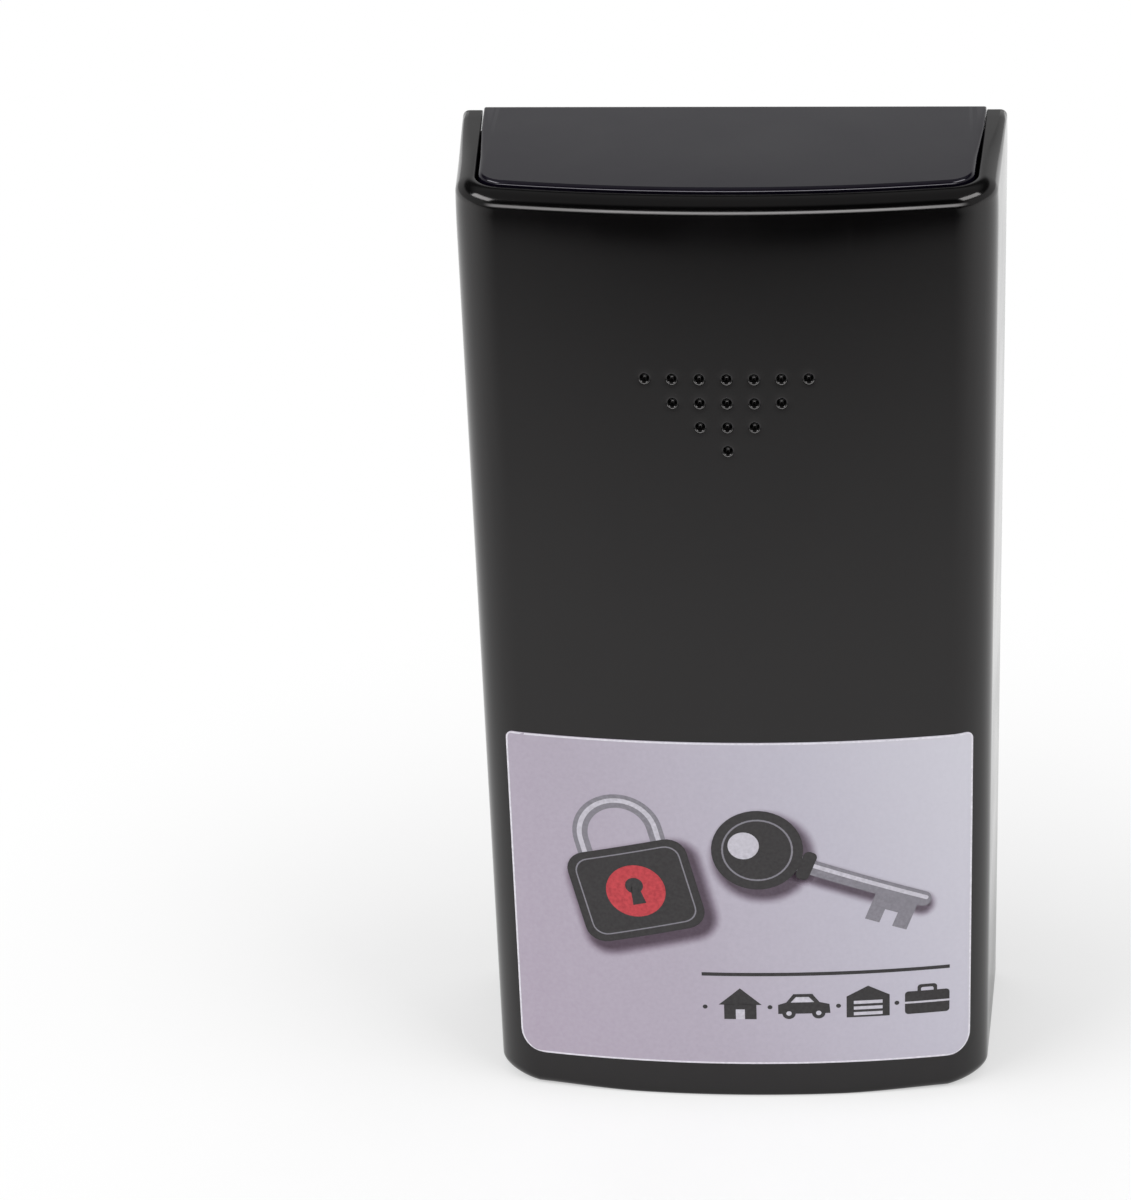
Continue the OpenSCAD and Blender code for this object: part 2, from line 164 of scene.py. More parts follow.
class Shell:
    """Faces given as points in millimetres. Points that are the same share a vertex.

    A face that is fixed keeps the side it was given, and its edges take no bevel.
    """

    def __init__(self):
        self.index, self.points, self.faces, self.slot, self.fixed = {}, [], [], [], []

    def vertex(self, p):
        key = tuple(round(c, 4) for c in p)
        if key not in self.index:
            self.index[key] = len(self.points)
            self.points.append(p)
        return self.index[key]

    def face(self, points, slot=0, fixed=False):
        ids = []
        for p in points:
            i = self.vertex(p)
            if i not in ids:
                ids.append(i)
        if len(ids) > 2:
            self.faces.append(ids)
            self.slot.append(slot)
            self.fixed.append(fixed)

    def strip(self, a, b, slot=0, fixed=False):
        for i in range(len(a) - 1):
            self.face((a[i], a[i + 1], b[i + 1], b[i]), slot, fixed)

    def loft(self, rows, closed=False, slot=0, fixed=False):
        for a, b in zip(rows, rows[1:]):
            self.strip(a + a[:1] if closed else a, b + b[:1] if closed else b, slot, fixed)

    def prism(self, rows, slot=0):
        """A closed outline carried through rows of points, with both ends filled."""
        self.loft(rows, True, slot)
        self.face(rows[0], slot)
        self.face(rows[-1][::-1], slot)

    def make(self, name, body, materials, bevel=0.0, segments=3, angle=32):
        mesh = bpy.data.meshes.new(name)
        points = [(x * MM, (y + FRAME_Y) * MM, z * MM) for x, y, z in self.points]
        mesh.from_pydata(points, [], self.faces)
        bm = bmesh.new()
        bm.from_mesh(mesh)
        bm.faces.ensure_lookup_table()
        for f, slot in zip(bm.faces, self.slot):
            f.material_index = slot
            f.smooth = True
        held = {f for f, fixed in zip(bm.faces, self.fixed) if fixed}
        bmesh.ops.recalc_face_normals(bm, faces=[f for f in bm.faces if f not in held])
        limit = math.radians(angle)
        if bevel:
            weight = bm.edges.layers.float.new("bevel_weight_edge")
            for e in bm.edges:
                if held.intersection(e.link_faces):
                    continue
                if len(e.link_faces) == 2 and e.calc_face_angle(0) > limit:
                    e[weight] = 1.0
        for e in bm.edges:
            e.smooth = len(e.link_faces) != 2 or e.calc_face_angle(0) < limit
        bm.to_mesh(mesh)
        bm.free()
        for m in materials:
            mesh.materials.append(m)
        o = bpy.data.objects.new(name, mesh)
        bpy.context.scene.collection.objects.link(o)
        if bevel:
            mod = o.modifiers.new("edges", "BEVEL")
            mod.limit_method = "WEIGHT"
            mod.width = bevel * MM
            mod.segments = segments
        mod = o.modifiers.new("normals", "WEIGHTED_NORMAL")
        mod.keep_sharp = not bevel
        mod.weight = 80
        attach(o, body)
        return o


def block(shell, x, y, z):
    corners = ((x[0], y[0]), (x[1], y[0]), (x[1], y[1]), (x[0], y[1]))
    shell.prism([[(a, b, c) for a, b in corners] for c in z])


# ---------------------------------------------------------------- the cover's outline
def outline(rear, bow_steps, corner_steps=18, side_steps=8):
    """Stations from the right rear edge round to the left one.

    Each is (x, y, outward x, outward y, share of the corner that is behind it).
    """
    half = []
    first = -rear / math.cos(LEAN)
    for i, t in enumerate(steps(first, SIDE_LEN, side_steps)):
        m = (1 / math.cos(LEAN), 0.0) if i == 0 else SIDE_OUT
        half.append((COVER_W / 2 + t * SIDE_RUN[0], t * SIDE_RUN[1], m[0], m[1], 0.0))
    for i, a in enumerate(steps(-LEAN, BOW_END, corner_steps)):
        if i:
            m = (math.cos(a), math.sin(a))
            half.append((CORNER[0] + CORNER_R * m[0], CORNER[1] + CORNER_R * m[1], m[0], m[1],
                         i / corner_steps))
    for s in bow_steps:
        half.append(on_bow(s) + (0.0,))
    left = [(-x, y, -mx, my, c) for x, y, mx, my, c in half[::-1]]
    return half + left[1:]


def on_bow(s):
    """Station on the bow, at a length s round it from the middle towards the right."""
    a = -math.pi / 2 + s / BOW_R
    m = (math.cos(a), math.sin(a))
    return (BOW_R * m[0], BOW_Y + BOW_R * m[1], m[0], m[1])


def off(station, d, z):
    """A point at a distance d outside the outline."""
    return (station[0] + station[2] * d, station[1] + station[3] * d, z)


def round_label(s):
    """Station at a length s round the label, which may run past the bow on to a corner."""
    s += LABEL_SHIFT
    if abs(s) <= BOW_LEN:
        return on_bow(s)
    side = math.copysign(1.0, s)
    a = BOW_END + (abs(s) - BOW_LEN) / CORNER_R
    m = (math.cos(a), math.sin(a))
    return (side * (CORNER[0] + CORNER_R * m[0]), CORNER[1] + CORNER_R * m[1], side * m[0], m[1])


# ---------------------------------------------------------------- cover
def dimple_depth(s, z):
    """How deep the front is pressed in at a place: steep pits with pointed ends, in shallow dishes."""
    deep = 0.0
    for row in range((DIMPLE_COLS + 1) // 2):
        dz = z - (COVER_H - DIMPLE_DROP - row * DIMPLE_Z)
        if abs(dz) > DISH_R:
            continue
        for col in range(row, DIMPLE_COLS - row):
            ds = s - (col - (DIMPLE_COLS - 1) / 2) * DIMPLE_X
            r = math.hypot(ds, dz)
            if r < DISH_R:
                dish = DISH_DEPTH * (0.5 + 0.5 * math.cos(math.pi * r / DISH_R))
                pit = (DIMPLE_DEPTH - DISH_DEPTH) * ease((DIMPLE_R - r) / DIMPLE_LIP)
                tip = TIP_DEPTH * max(0.0, 1 - r / TIP_R)
                deep = max(deep, dish + pit + tip)
    return deep


def wall_profile(foot, rim, inner):
    """Section through the cover's wall, as (distance outside the outline, height)."""
    pts = arc(-foot, foot, foot, -90, 0, 10)
    pts += [(0.0, z) for z in (6.0, 30.0, 54.0, *PATCH_Z, 98.0)]
    for t in steps(0, 1, 8):
        pts.append((-CROWN_LEAN * t ** 3, COVER_H - CROWN_H + t * (CROWN_H - rim)))
    for a in steps(4, 90, 14):
        c, v = math.cos(math.radians(a)), math.sin(math.radians(a))
        pts.append((-CROWN_LEAN * (1 - v) - rim + rim * c, COVER_H - rim + rim * v))
    pts += arc(-WALL + inner, COVER_H - inner, inner, 90, 180, 4)
    pts += [(-WALL, z) for z in (98.0, 54.0, 10.0, FLOOR_T)]
    return pts


def corner_share(st):
    """How much of the corners' softer foot a station has: all of it in mid corner, none far away."""
    if st[4] > 0:
        return 0.5 + 0.5 * math.sin(math.pi * st[4])
    if st[1] > CORNER[1] + 1e-6:
        return 0.5 * ease((-st[1] - SOFT_SIDE_FROM) / (-CORNER[1] - SOFT_SIDE_FROM))
    return 0.5 * ease((abs(st[0]) - SOFT_FRONT_FROM) / SOFT_FRONT_RUN)


def cover_piece(plastic):
    sh = Shell()
    bow_steps = [BOW_LEN * i / 24 for i in range(23, 9, -1) if BOW_LEN * i / 24 > PATCH_X + 0.3]
    bow_steps += [PATCH_X * i / 10 for i in range(10, -1, -1)]
    path = outline(0.0, bow_steps)
    rows = []
    for st in path:
        foot = FOOT_R + (FOOT_CORNER_R - FOOT_R) * corner_share(st)
        front = clamp((-st[1] - RIM_FROM) / RIM_RUN)
        rim = RIM_REAR_R + (RIM_R - RIM_REAR_R) * ease(front)
        inner = RIM_IN_R * (0.4 + 0.6 * front)
        rows.append([off(st, d, z) for d, z in wall_profile(foot, rim, inner)])
    low = next(i for i, p in enumerate(rows[0]) if abs(p[2] - PATCH_Z[0]) < 1e-6)
    for k, (a, b) in enumerate(zip(rows, rows[1:])):
        inside = max(abs(path[k][0]), abs(path[k + 1][0])) < PATCH_X + 0.01
        for i in range(len(a) - 1):
            if not (inside and i == low):
                sh.face((a[i], a[i + 1], b[i + 1], b[i]))
    grid = [[off(on_bow(s), -dimple_depth(s, z), z) for z in steps(*PATCH_Z, PATCH_CELLS[1])]
            for s in steps(-PATCH_X, PATCH_X, PATCH_CELLS[0])]
    sh.loft([g[::-1] for g in grid], fixed=True)
    # Underside, floor and rear faces
    under = [r[0] for r in rows]
    floor = [r[-1] for r in rows]
    for edge in (under, floor):
        sh.strip(edge, [(p[0], 0.0, p[2]) for p in edge])
    sh.strip([(p[0], 0.0, p[2]) for p in under], [(p[0], 0.0, p[2]) for p in floor])
    sh.face(rows[0])
    sh.face(rows[-1])
    for side in (-1, 1):
        rib_x = sorted((side * (SLOT_IN + GAP), side * (inner_half(RIB_FRONT) + 2.5 * OVERLAP)))
        block(sh, rib_x, (RIB_FRONT, RIB_BACK), (FLOOR_T - OVERLAP, PANEL_UNDER - RIB_END))
    o = sh.make("cover_shell", "cover_body", [plastic], bevel=BEVEL_COVER, segments=2, angle=40)
    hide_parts("cover")
    return o


# ---------------------------------------------------------------- tray
def plate(sh):
    """The back plate: a grid of cells without the slots, with the ejector marks pressed in."""
    marks = [(sx * MARK_X, z) for sx in (-1, 1) for z in (MARK_END, COVER_H - MARK_END)]
    pad = MARK_R + MARK_PAD
    right = (PLATE_HALF, SLOT_OUT, SLOT_IN, MARK_X - pad, MARK_X + pad)
    xs = sorted({s * x for s in (-1, 1) for x in right})
    zs = {PLATE_FOOT, PANEL_UNDER + 3 * OVERLAP}
    zs |= {z for pair in slots() for z in pair}
    zs |= {z + d for _, z in marks for d in (-pad, pad)}
    zs = sorted(zs)

    def solid(i, k):
        if not (0 <= i < len(xs) - 1 and 0 <= k < len(zs) - 1):
            return False
        x, z = (xs[i] + xs[i + 1]) / 2, (zs[k] + zs[k + 1]) / 2
        return not (SLOT_IN < abs(x) < SLOT_OUT and any(a < z < b for a, b in slots()))

    def marked(i, k):
        x, z = (xs[i] + xs[i + 1]) / 2, (zs[k] + zs[k + 1]) / 2
        return next((m for m in marks if abs(x - m[0]) < pad and abs(z - m[1]) < pad), None)

    back, front = PLATE_PROUD, PLATE_FRONT
    done = set()
    for i in range(len(xs) - 1):
        for k in range(len(zs) - 1):
            if not solid(i, k):
                continue
            x0, x1, z0, z1 = xs[i], xs[i + 1], zs[k], zs[k + 1]
            sh.face(((x0, front, z0), (x1, front, z0), (x1, front, z1), (x0, front, z1)))
            mark = marked(i, k)
            if mark is None:
                sh.face(((x0, back, z0), (x1, back, z0), (x1, back, z1), (x0, back, z1)))
            else:
                done.add(mark)
            for di, dk, a, b in ((-1, 0, (x0, z0), (x0, z1)), (1, 0, (x1, z0), (x1, z1)),
                                 (0, -1, (x0, z0), (x1, z0)), (0, 1, (x0, z1), (x1, z1))):
                if not solid(i + di, k + dk):
                    sh.face(((a[0], front, a[1]), (b[0], front, b[1]),
                             (b[0], back, b[1]), (a[0], back, a[1])))
    for cx, cz in done:
        near_z = [z for z in zs if cz - pad - 1e-6 < z < cz + pad + 1e-6]
        near_x = [x for x in xs if cx - pad - 1e-6 < x < cx + pad + 1e-6]
        ring = [(x, near_z[0]) for x in near_x[:-1]] + [(near_x[-1], z) for z in near_z[:-1]]
        ring += [(x, near_z[-1]) for x in near_x[:0:-1]] + [(near_x[0], z) for z in near_z[:0:-1]]
        rim = []
        for (ax, az), (bx, bz) in zip(ring, ring[1:] + ring[:1]):
            rim += [(ax + (bx - ax) * t / 16, az + (bz - az) * t / 16) for t in range(16)]
        turn = [math.atan2(z - cz, x - cx) for x, z in rim]
        rings = [[(x, back, z) for x, z in rim]]
        foot = back - MARK_DEPTH
        # A soft step between flat rings, which keep its shading off the plate and off the mark's floor
        for r, y in ((MARK_R + 0.2, back), (MARK_R + 0.12, back), (MARK_R + 0.05, back - 0.015),
                     (MARK_R - 0.05, foot + 0.015), (MARK_R - 0.12, foot), (MARK_R - 0.2, foot),
                     (MARK_R * 0.6, foot), (MARK_R * 0.2, foot)):
            rings.append([(cx + r * math.cos(t), y, cz + r * math.sin(t)) for t in turn])
        sh.loft(rings, True)
        sh.face(rings[-1])


def panel(sh):
    """The top panel, which turns down into the back plate over a round edge."""
    rear = PLATE_PROUD
    run = PANEL_BACK_R * math.cos(math.radians(PANEL_BACK_END))
    bend = [p[0] for p in arc(rear - run, 0.0, PANEL_BACK_R, 90, PANEL_BACK_END, 8)]
    path = outline(rear, [BOW_LEN * i / 24 for i in range(23, -1, -1)], 14, 24)

    def height(y):
        d = max(0.0, y - (rear - run))
        return TOP_Z - PANEL_BACK_R + math.sqrt(PANEL_BACK_R ** 2 - d * d)

    top, under = [], []
    for st in path:
        near = clamp((st[1] + PANEL_NEAR_FROM) / PANEL_NEAR_RUN)
        inset = PANEL_IN - (PANEL_NEAR_RIGHT if st[0] > 0 else PANEL_NEAR_LEFT) * near
        x, y, _ = off(st, -inset, 0)
        edge_r = PANEL_EDGE_R * (1 - 0.6 * near)
        edge = []
        for a in steps(0, 90, 5):
            c, v = math.cos(math.radians(a)), math.sin(math.radians(a))
            ex, ey, _ = off(st, -inset - edge_r * (1 - c), 0)
            edge.append((ex, ey, height(ey) - edge_r * (1 - v)))
        ex, ey, _ = edge[-1]
        ys = [ey + (bend[0] - ey) * 0.5 if ey < bend[0] else ey] + [max(ey, b) for b in bend]
        back = [(ex, v, height(v)) for v in ys]
        top.append([(x, y, PANEL_UNDER)] + edge + back + [(ex, rear, PANEL_UNDER)])
        under.append([(x, y, PANEL_UNDER), (ex, rear, PANEL_UNDER)])
    sh.loft(top)
    sh.loft(under)


def hooks(sh):
    root = PLATE_FRONT + OVERLAP
    hook = [(SLOT_IN - STEM_T, root), (SLOT_IN, root), (SLOT_IN, LIP_BACK),
            (SLOT_OUT, LIP_BACK), (SLOT_OUT, LIP_FRONT), (SLOT_IN - STEM_T, LIP_FRONT)]
    for low, high in slots():
        z = (low + HOOK_INSET, high - HOOK_INSET)
        for side in (-1, 1):
            sh.prism([[(side * x, y, c) for x, y in hook] for c in z])


def wall_run(sh, section, line):
    """Carries a section (distance out from the pocket, depth) along a line of (x, z, out x, out z)."""
    sh.prism([[(x + ox * d, y, z + oz * d) for d, y in section] for x, z, ox, oz in line])


def housing(sh):
    back = PLATE_PROUD - OVERLAP
    side = [(0.0, back), (HOUSE_WALL, back), (HOUSE_WALL, RIM_Y - HOUSE_RIM_R)]
    side += arc(HOUSE_WALL - HOUSE_RIM_R, RIM_Y - HOUSE_RIM_R, HOUSE_RIM_R, 0, 90, 8)[1:] + [(0.0, RIM_Y)]
    gap = HOUSE_ROOF / HOUSE_WALL
    inner = TAB_W / 2 + TAB_SLOT
    for s in (-1, 1):
        line = [(s * POCKET, HOUSE_FOOT, s, 0.0), (s * POCKET, POCKET_TOP - HOUSE_KNEE, s, 0.0),
                (s * POCKET, POCKET_TOP, s, gap), (s * (POCKET - HOUSE_KNEE), POCKET_TOP, 0.0, gap),
                (s * inner, POCKET_TOP, 0.0, gap)]
        wall_run(sh, side, line)
    # Spring tab: thicker at its end, with a lip that reaches down over the ferrite block
    tip = FERRITE_BACK + CATCH_GAP + CATCH_T
    lip = MAGNET_Z + FERRITE_H / 2 - CATCH_REACH
    tab = [(back, POCKET_TOP), (tip - CATCH_T, POCKET_TOP), (tip - CATCH_T, lip), (tip, lip)]
    tab += [(tip, HOUSE_TOP - TAB_R - 0.2)] + arc(tip - TAB_R, HOUSE_TOP - TAB_R, TAB_R, 0, 90, 8)[1:]
    tab += [(back, HOUSE_TOP)]
    sh.prism([[(x, y, z) for y, z in tab] for x in (-TAB_W / 2, TAB_W / 2)])
    foot = MAGNET_Z - FERRITE_H / 2
    seat = foot - MAGNET_GAP
    ledge = [(back, seat - LEDGE_T), (tip, seat - LEDGE_T), (tip, foot + CATCH_REACH),
             (tip - CATCH_T, foot + CATCH_REACH), (tip - CATCH_T, seat), (back, seat)]
    sh.prism([[(x, y, z) for y, z in ledge] for x in (-LEDGE_W / 2, LEDGE_W / 2)])


def base_piece(plastic):
    sh = Shell()
    plate(sh)
    panel(sh)
    hooks(sh)
    housing(sh)
    o = sh.make("tray_moulding", "base_body", [plastic], bevel=BEVEL_TRAY, segments=2, angle=40)
    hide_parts("base")
    return o


# ---------------------------------------------------------------- magnet
def ferrite_piece(mat):
    sh = Shell()
    w, h, r = FERRITE_W / 2, FERRITE_H / 2, FERRITE_R
    loop = []
    for cx, cz, a in ((w - r, h - r, 0), (r - w, h - r, 90), (r - w, r - h, 180), (w - r, r - h, 270)):
        loop += arc(cx, cz + MAGNET_Z, r, a, a + 90, 8)
    sh.prism([[(x, y, z) for x, z in loop] for y in (PLATE_PROUD, FERRITE_BACK)])
    o = sh.make("ferrite_block", "base_body", [mat], bevel=BEVEL_FERRITE)
    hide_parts("ferrite_magnet")
    return o


def pole_piece(mat, side, name, node):
    sh = Shell()
    low, high = MAGNET_Z - POLE_H / 2, MAGNET_Z + POLE_H / 2
    loop = [(PLATE_PROUD, low)] + arc(CONTACT_Y - POLE_R, low + POLE_R, POLE_R, 270, 360, 10)
    loop += arc(CONTACT_Y - POLE_R, high - POLE_R, POLE_R, 0, 90, 10) + [(PLATE_PROUD, high)]
    x = FERRITE_W / 2
    sh.prism([[(side * a, y, z) for y, z in loop] for a in (x, x + POLE_T)])
    o = sh.make(name, "base_body", [mat], bevel=BEVEL_POLE, segments=4)
    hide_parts(node)
    return o


# ---------------------------------------------------------------- label
# In label coordinates: x round the label from its middle, y up from its foot. Angles are in degrees.
PADLOCK_AT, DOOR_KEY_AT = (-11.6, 22.4, 14), (1.8, 28.0, -21)
# BORDER is the width of the painted highlight round the label's edge.
RULE, PICTOGRAM_LINE, BORDER = (-4.6, 11.7, 22.9, 12.15), 6.0, 0.22
TINT_W = 52.0                 # width over which the film's colour runs from side to side
PRINT_HALF = 25               # the print is cut into strips 1 mm wide, this many on each side
INK_DEEP, INK_STEEL, INK_RED, INK_SHADE, INK_PALE, INK_EDGE_HIGHLIGHT = range(6)


def label_reach(z):
    """Half of the label's width at a height z above its foot, with its rounded corners."""
    half = BOW_LEN + LABEL_WRAP
    for r, d in ((LABEL_FOOT_R, z), (LABEL_TOP_R, LABEL_H - z)):
        if d < r:
            return half - r + math.sqrt(max(0.0, r * r - (r - d) ** 2))
    return half


def label_piece(film):
    sh = Shell()
    zs = [LABEL_FOOT_R * (1 - math.cos(math.radians(a))) for a in steps(0, 90, 12)]
    zs += [6.0 + 4.4 * i for i in range(8)]
    zs += [LABEL_H - LABEL_TOP_R * (1 - math.cos(math.radians(a))) for a in steps(90, 0, 8)]
    outer, inner = [], []
    for z in zs:
        reach = label_reach(z)
        row = [round_label(reach * t) for t in steps(-1, 1, 72)]
        outer.append([off(st, FILM_T, LABEL_LIFT + z) for st in row])
        inner.append([off(st, FILM_BACK, LABEL_LIFT + z) for st in row])
    sh.loft(outer)
    sh.loft(inner)
    sh.strip(outer[0], inner[0])
    sh.strip(outer[-1], inner[-1])
    sh.strip([r[0] for r in outer], [r[0] for r in inner])
    sh.strip([r[-1] for r in outer], [r[-1] for r in inner])
    o = sh.make("label_film", "cover_body", [film])
    uv = o.data.uv_layers.new(name="label")
    for loop in o.data.loops:
        p = o.data.vertices[loop.vertex_index].co / MM
        uv.data[loop.index].uv = (0.5 + p.x / TINT_W, (p.z - LABEL_LIFT) / LABEL_H)
    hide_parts("label")
    return o


def turned(points, cx, cy, angle):
    c, s = math.cos(math.radians(angle)), math.sin(math.radians(angle))
    return [(cx + c * x - s * y, cy + s * x + c * y) for x, y in points]


def round_box(w, h, r, n=6):
    dx, dy = w / 2 - r, h / 2 - r
    pts = []
    for x, y, a in ((dx, dy, 0), (-dx, dy, 90), (-dx, -dy, 180), (dx, -dy, 270)):
        pts += arc(x, y, r, a, a + 90, n)
    return pts


def box_between(x0, y0, x1, y1):
    return [(x0, y0), (x1, y0), (x1, y1), (x0, y1)]


def moved(points, dx, dy):
    return [(x + dx, y + dy) for x, y in points]


def disc(r, cx=0.0, cy=0.0, n=40):
    return arc(cx, cy, r, 0, 360, n)[:-1]


class Ink:
    """Flat shapes in label coordinates, laid round the cover in thin strips."""

    def __init__(self):
        self.bm = bmesh.new()
        self.level = self.bm.verts.layers.float.new("level")
        self.fade = self.bm.verts.layers.float.new("fade")

    def shape(self, outer, ink, level, hole=None, fades=None):
        """Fills an outline, or the band between an outline and a hole with as many points."""
        f_out, f_in = fades or (1.0, 1.0)

        def verts(points, fade):
            out = []
            for x, y in points:
                v = self.bm.verts.new((x, y, 0.0))
                v[self.level] = level
                v[self.fade] = fade
                out.append(v)
            return out

        a = verts(outer, f_out)
        if hole is None:
            self.bm.faces.new(a).material_index = ink
            return
        b = verts(hole, f_in)
        for i in range(len(a)):
            j = (i + 1) % len(a)
            self.bm.faces.new((a[i], a[j], b[j], b[i])).material_index = ink

    def make(self, name, materials):
        bm = self.bm
        for k in range(-PRINT_HALF, PRINT_HALF + 1):
            geom = bm.verts[:] + bm.edges[:] + bm.faces[:]
            bmesh.ops.bisect_plane(bm, geom=geom, plane_co=(k, 0, 0), plane_no=(1, 0, 0))
        for v in bm.verts:
            lift = FILM_T + PRINT_LIFT + PRINT_STEP * v[self.level]
            x, y, z = off(round_label(v.co.x), lift, LABEL_LIFT + v.co.y)
            v.co = (x * MM, (y + FRAME_Y) * MM, z * MM)
        mesh = bpy.data.meshes.new(name)
        bm.to_mesh(mesh)
        bm.free()
        for m in materials:
            mesh.materials.append(m)
        o = bpy.data.objects.new(name, mesh)
        bpy.context.scene.collection.objects.link(o)
        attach(o, "cover_body")
        return o


def cast(ink, outline_of, dx, dy, grow=1.3):
    """A soft shadow: bands round a shape, each fainter than the one inside it."""
    rings = [moved(outline_of(g), dx, dy) for g in (0.0, grow * 0.35, grow * 0.7, grow)]
    fades = (1.0, 0.7, 0.25, 0.0)
    ink.shape(rings[0], INK_SHADE, 0)
    for k in range(3):
        ink.shape(rings[k + 1], INK_SHADE, 0, rings[k], (fades[k + 1], fades[k]))


def shackle(r, n=28):
    """One line of the shackle: a half circle with two straight legs."""
    return [(-r, 5.0)] + arc(0, 7.4, r, 180, 0, n) + [(r, 5.0)]


def padlock(ink, cx, cy, angle):
    def place(points):
        return turned(points, cx, cy, angle)

    cast(ink, lambda g: place(round_box(13.6 + 2 * g, 11.6 + 2 * g, 2.2 + g)), 0.7, -0.8)
    for r_out, r_in, kind, level in ((5.0, 3.3, INK_STEEL, 1), (4.5, 3.95, INK_PALE, 2)):
        a, b = shackle(r_out), shackle(r_in)
        for i in range(len(a) - 1):
            ink.shape(place([a[i], a[i + 1], b[i + 1], b[i]]), kind, level)
    ink.shape(place(round_box(13.6, 11.6, 2.2)), INK_DEEP, 3)
    ink.shape(place(round_box(11.9, 9.9, 1.6)), INK_STEEL, 4, place(round_box(11.6, 9.6, 1.5)))
    ink.shape(place(disc(3.3)), INK_RED, 5)
    ink.shape(place(disc(1.0, 0.0, 0.7)), INK_DEEP, 6)
    ink.shape(place([(-0.45, 0.6), (0.45, 0.6), (0.75, -1.7), (-0.75, -1.7)]), INK_DEEP, 6)


def door_key(ink, cx, cy, angle):
    """An old door key: a round bow with a hole, a collar, a straight stem and a bit with two wards."""
    def place(points, dx=0.0, dy=0.0):
        return turned(moved(points, dx, dy), cx, cy, angle)

    cast(ink, lambda g: place(disc(4.9 + g)), 0.6, -0.9)
    cast(ink, lambda g: place(round_box(17.0 + 2 * g, 1.7 + 2 * g, 0.8 + g), 11.0), 0.5, -0.9, 1.0)
    for x in (15.0, 18.2):
        ink.shape(place(box_between(x - 0.85, -4.3, x + 0.85, -0.6)), INK_STEEL, 1)
    ink.shape(place(box_between(14.5, -2.5, 18.7, -0.6)), INK_STEEL, 2)
    ink.shape(place(round_box(18.0, 1.9, 0.9), 11.3), INK_STEEL, 3)
    ink.shape(place(round_box(17.2, 0.5, 0.24), 11.3, 0.25), INK_PALE, 4)
    ink.shape(place(disc(1.9, -1.6)), INK_PALE, 4)
    ink.shape(place(disc(5.0)), INK_DEEP, 5, place(disc(1.7, -1.6)))
    ink.shape(place(disc(3.9)), INK_STEEL, 6, place(disc(3.7)))
    ink.shape(place(round_box(1.5, 3.6, 0.6), 5.7), INK_DEEP, 6)


def house(ink, x, line):
    ink.shape([(x - 2.4, line + 1.9), (x, line + 4.1), (x + 2.4, line + 1.9)], INK_DEEP, 1)
    ink.shape(box_between(x - 1.8, line, x + 1.8, line + 2.0), INK_DEEP, 1)
    ink.shape(box_between(x - 0.5, line, x + 0.5, line + 1.3), INK_PALE, 2)


def car(ink, x, line):
    body = [(-2.9, 0.7), (2.9, 0.7), (2.8, 1.9), (1.7, 2.2),
            (0.9, 3.3), (-1.2, 3.3), (-2.0, 2.2), (-2.9, 1.9)]
    window = [(-1.5, 2.2), (1.1, 2.2), (0.5, 2.9), (-0.9, 2.9)]
    ink.shape(moved(body, x, line), INK_DEEP, 1)
    ink.shape(moved(window, x, line), INK_PALE, 2)
    for dx in (-1.7, 1.6):
        ink.shape(disc(0.75, x + dx, line + 0.75, 20), INK_DEEP, 3)
        ink.shape(disc(0.3, x + dx, line + 0.75, 16), INK_PALE, 4)


def garage(ink, x, line):
    walls = [(-2.4, 0.0), (2.4, 0.0), (2.4, 2.8), (0.0, 4.1), (-2.4, 2.8)]
    ink.shape(moved(walls, x, line), INK_DEEP, 1)
    for k in range(3):
        y = line + 0.25 + 0.75 * k
        ink.shape(box_between(x - 1.6, y, x + 1.6, y + 0.42), INK_PALE, 2)


def briefcase(ink, x, line):
    ink.shape(moved(round_box(5.0, 3.0, 0.4), x, line + 1.5), INK_DEEP, 1)
    ink.shape(moved(round_box(2.2, 1.5, 0.4), x, line + 3.1), INK_DEEP, 2,
              moved(round_box(1.4, 0.9, 0.2), x, line + 3.0))
    ink.shape(box_between(x - 2.5, line + 1.4, x + 2.5, line + 1.65), INK_PALE, 3)


def pictograms(ink, line):
    """House, car, garage and briefcase, about 4 mm high, with a dot before each."""
    row = ((house, -0.4, -4.3), (car, 6.7, 2.9), (garage, 13.8, 10.5), (briefcase, 20.4, 17.0))
    for draw, x, dot in row:
        draw(ink, x, line)
        ink.shape(disc(0.28, dot, line + 1.6, 12), INK_DEEP, 1)


def label_print(inks):
    ink = Ink()
    heights = [0.0, 0.1, 0.3, 0.6, 1.0, 1.5, 2.1, LABEL_FOOT_R, 12.0, 30.0]
    heights += [LABEL_H - d for d in (LABEL_TOP_R, 0.6, 0.3, 0.1, 0.0)]
    edge = [(label_reach(z), z) for z in heights]
    loop = edge + [(-x, z) for x, z in edge[::-1]]
    inset = [(x - math.copysign(BORDER, x), min(max(z, BORDER), LABEL_H - BORDER)) for x, z in loop]
    # Painted highlight: a light band BORDER wide round the label's edge, standing in for the light that the
    # film's cut edge catches.
    ink.shape(loop, INK_EDGE_HIGHLIGHT, 0, inset)
    padlock(ink, *PADLOCK_AT)
    door_key(ink, *DOOR_KEY_AT)
    ink.shape(box_between(*RULE), INK_DEEP, 1)
    pictograms(ink, PICTOGRAM_LINE)
    return ink.make("label_print", inks)


# ---------------------------------------------------------------- materials
def new_material(name):
    mat = bpy.data.materials.new(name)
    mat.use_nodes = True
    nt = mat.node_tree
    return mat, nt, nt.nodes["Principled BSDF"]


def feed(nt, node, inputs):
    """Fills a node's inputs: a socket is linked, and any other value is written in."""
    for name, value in inputs.items():
        if isinstance(value, bpy.types.NodeSocket):
            nt.links.new(value, node.inputs[name])
        else:
            node.inputs[name].default_value = value


def put(nt, kind, inputs=None, **props):
    node = nt.nodes.new(kind)
    for name, value in props.items():
        setattr(node, name, value)
    feed(nt, node, inputs or {})
    return node


